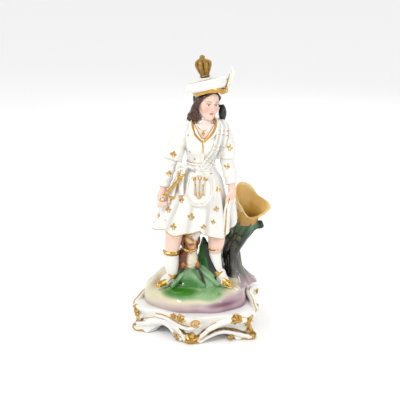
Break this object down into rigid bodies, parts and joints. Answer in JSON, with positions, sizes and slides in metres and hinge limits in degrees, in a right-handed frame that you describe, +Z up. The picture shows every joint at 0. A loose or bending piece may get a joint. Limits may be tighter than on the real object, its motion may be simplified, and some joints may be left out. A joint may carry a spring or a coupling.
{
  "type": "porcelain figurine",
  "caption": "Standing porcelain figure in Highland-style dress with a hound and a tree-trunk spill vase on a scrolled base; the finial over the hat lifts out as a stopper.",
  "frame": {"origin": "centre of the group's bounding box, on the surface it stands on", "axes": "+Z up, -Y towards the front of the base, +X to the side of the spill vase"},
  "size_m": [0.1276, 0.1072, 0.2628],
  "materials": {
    "white_glaze": "glossy clear glaze over white paste",
    "gilding": "burnished gilding on glaze",
    "skin_enamel": "flesh enamel, glossy",
    "hair_enamel": "dark brown enamel, glossy",
    "hound_enamel": "brown and white enamel, glossy",
    "ground_enamel": "cream, green and mauve enamel, glossy",
    "leaf_enamel": "green enamel, glossy",
    "bark_enamel": "dark brown and green enamel, glossy",
    "ochre_glaze": "ochre enamel, glossy",
    "bronze_gilding": "dull old gilding",
    "cork": "matt cork"
  },
  "bodies": {
    "figure_group": {"rococo_plinth": "white_glaze", "corner_scrolls": "white_glaze", "front_scrolls": "white_glaze", "skirt": "white_glaze", "overskirt_drape": "white_glaze", "bodice": "white_glaze", "right_upper_sleeve": "white_glaze", "left_upper_sleeve": "white_glaze", "right_lower_sleeve": "white_glaze", "left_lower_sleeve": "white_glaze", "right_stocking": "white_glaze", "left_stocking": "white_glaze", "waist_sash": "white_glaze", "shoulder_sash": "white_glaze", "sash_knot": "white_glaze", "sash_tails": "white_glaze", "sporran": "white_glaze", "hat": "white_glaze", "plume": "white_glaze", "right_shoe": "white_glaze", "left_shoe": "white_glaze", "bottle_neck": "white_glaze", "front_volute": "gilding", "side_shells": "gilding", "sporran_tassels": "gilding", "collar": "gilding", "placket": "gilding", "pipe": "gilding", "right_garter": "gilding", "left_garter": "gilding", "right_shoe_trim": "gilding", "left_shoe_trim": "gilding", "hat_band": "gilding", "necklace": "gilding", "hound_collar": "gilding", "neck_and_chest": "skin_enamel", "head": "skin_enamel", "right_hand": "skin_enamel", "left_hand": "skin_enamel", "right_leg": "skin_enamel", "left_leg": "skin_enamel", "hair_locks": "hair_enamel", "hair_bun": "hair_enamel", "hound_body": "hound_enamel", "hound_head": "hound_enamel", "hound_ears": "hound_enamel", "hound_forelegs": "hound_enamel", "ground_mound": "ground_enamel", "grass_hillock": "leaf_enamel", "leaf_blades": "leaf_enamel", "tree_trunk": "bark_enamel", "branch_stub": "bark_enamel", "spill_vase": "ochre_glaze"},
    "cork": {"cork_sleeve": "cork"},
    "finial": {"stopper": "bronze_gilding"}
  },
  "joints": [
    {"name": "stopper_lift", "type": "slide", "parent": "figure_group", "child": "cork", "axis": [-0.1371, -0.0242, 0.9903], "range_m": [0, 0.014]},
    {"name": "stopper_turn", "type": "hinge", "parent": "cork", "child": "finial", "pos_m": [0.0047, 0.00561, 0.2425], "axis": [-0.1371, -0.0242, 0.9903], "continuous": true}
  ]
}
